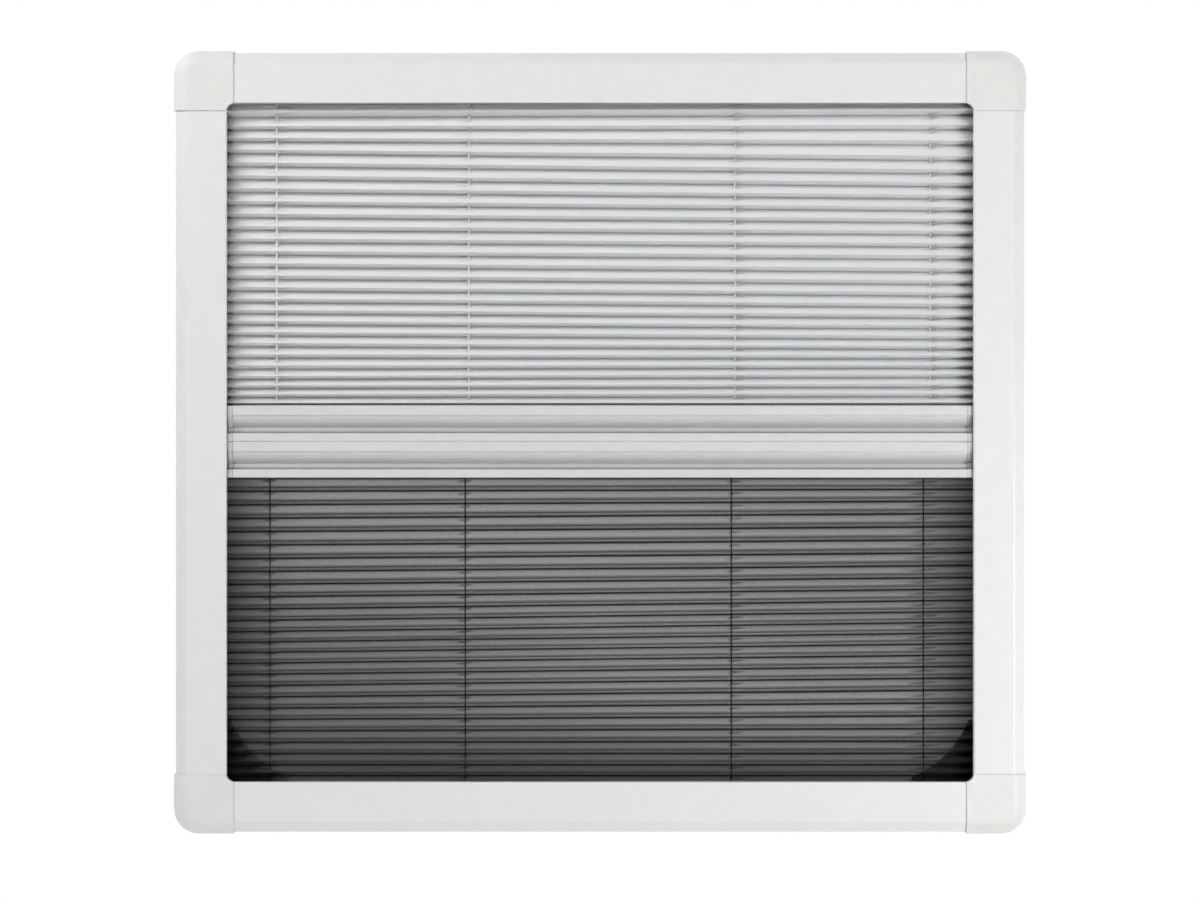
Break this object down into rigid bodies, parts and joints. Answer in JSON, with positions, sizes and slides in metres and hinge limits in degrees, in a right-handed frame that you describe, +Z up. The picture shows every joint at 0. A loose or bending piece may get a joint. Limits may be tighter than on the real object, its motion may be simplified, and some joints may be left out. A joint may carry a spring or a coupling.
{
  "type": "pleated day and night cassette blind",
  "caption": "Framed pleated day and night blind: blackout cloth above, insect screen below, each on a sliding grip rail guided by cords that cross.",
  "frame": {"origin": "centre of the window opening, in the plane of the frame's back faces, where the wall is", "axes": "+X to the right seen from the room, +Y into the wall, so the front faces -Y, +Z up"},
  "size_m": [0.7358, 0.0294, 0.6758],
  "materials": {
    "frame_profile": "smooth satin white powder coat",
    "grip_rail": "satin white-grey powder coat",
    "corner_cap": "fine moulded texture, faintly warm white",
    "connector_plastic": "plain moulded",
    "gusset_plastic": "dark grey, matte",
    "rivet": "bare",
    "glide_plastic": "pale grey-green moulded",
    "inner_plastic": "plain white",
    "blackout_cloth": "silver-grey coated polyester, faint sheen",
    "screen_mesh": "dark grey see-through insect mesh",
    "light_cord": "fine braided polyester, white",
    "dark_cord": "fine braided polyester, black"
  },
  "bodies": {
    "frame": {"profile_top": "frame_profile", "profile_bottom": "frame_profile", "profile_left": "frame_profile", "profile_right": "frame_profile", "corner_cap_bottom_left": "corner_cap", "corner_cap_bottom_right": "corner_cap", "corner_cap_top_left": "corner_cap", "corner_cap_top_right": "corner_cap", "corner_connector_bottom_left": "connector_plastic", "corner_connector_bottom_right": "connector_plastic", "corner_connector_top_left": "connector_plastic", "corner_connector_top_right": "connector_plastic", "corner_gusset_bottom_left": "gusset_plastic", "corner_gusset_bottom_right": "gusset_plastic", "corner_gusset_top_left": "gusset_plastic", "corner_gusset_top_right": "gusset_plastic", "gusset_rivet_bottom_left": "rivet", "gusset_rivet_bottom_right": "rivet", "gusset_rivet_top_left": "rivet", "gusset_rivet_top_right": "rivet", "head_strip": "inner_plastic", "sill_strip": "inner_plastic", "blackout_cloth": "blackout_cloth", "insect_screen": "screen_mesh", "cord_outer_left_upper": "light_cord", "cord_outer_left_lower": "dark_cord", "cord_outer_left_anchor": "inner_plastic", "cord_outer_left_tensioner": "inner_plastic", "cord_inner_left_upper": "light_cord", "cord_inner_left_lower": "dark_cord", "cord_inner_left_anchor": "inner_plastic", "cord_inner_left_tensioner": "inner_plastic", "cord_inner_right_upper": "light_cord", "cord_inner_right_lower": "dark_cord", "cord_inner_right_anchor": "inner_plastic", "cord_inner_right_tensioner": "inner_plastic", "cord_outer_right_upper": "light_cord", "cord_outer_right_lower": "dark_cord", "cord_outer_right_anchor": "inner_plastic", "cord_outer_right_tensioner": "inner_plastic"},
    "upper_rail": {"blackout_rail": "grip_rail", "blackout_rail_glide_left": "glide_plastic", "blackout_rail_glide_right": "glide_plastic", "blackout_rail_cord_guide_left": "inner_plastic", "blackout_rail_cord_guide_right": "inner_plastic", "blackout_rail_strip": "inner_plastic", "cord_outer_left_crossing": "dark_cord", "cord_outer_right_crossing": "dark_cord"},
    "lower_rail": {"screen_rail": "grip_rail", "screen_rail_glide_left": "glide_plastic", "screen_rail_glide_right": "glide_plastic", "screen_rail_cord_guide_left": "inner_plastic", "screen_rail_cord_guide_right": "inner_plastic", "screen_rail_strip": "inner_plastic", "cord_inner_left_crossing": "dark_cord", "cord_inner_right_crossing": "dark_cord"}
  },
  "joints": [
    {"name": "blackout_slide", "type": "slide", "parent": "frame", "child": "upper_rail", "axis": [0, 0, 1], "range_m": [0, 0.225], "deforming": ["blackout_cloth", "cord_outer_left_upper", "cord_outer_right_upper", "cord_outer_left_lower", "cord_outer_right_lower"]},
    {"name": "screen_slide", "type": "slide", "parent": "frame", "child": "lower_rail", "axis": [0, 0, 1], "range_m": [-0.225, 0], "deforming": ["insect_screen", "cord_inner_left_upper", "cord_inner_right_upper", "cord_inner_left_lower", "cord_inner_right_lower"]}
  ]
}
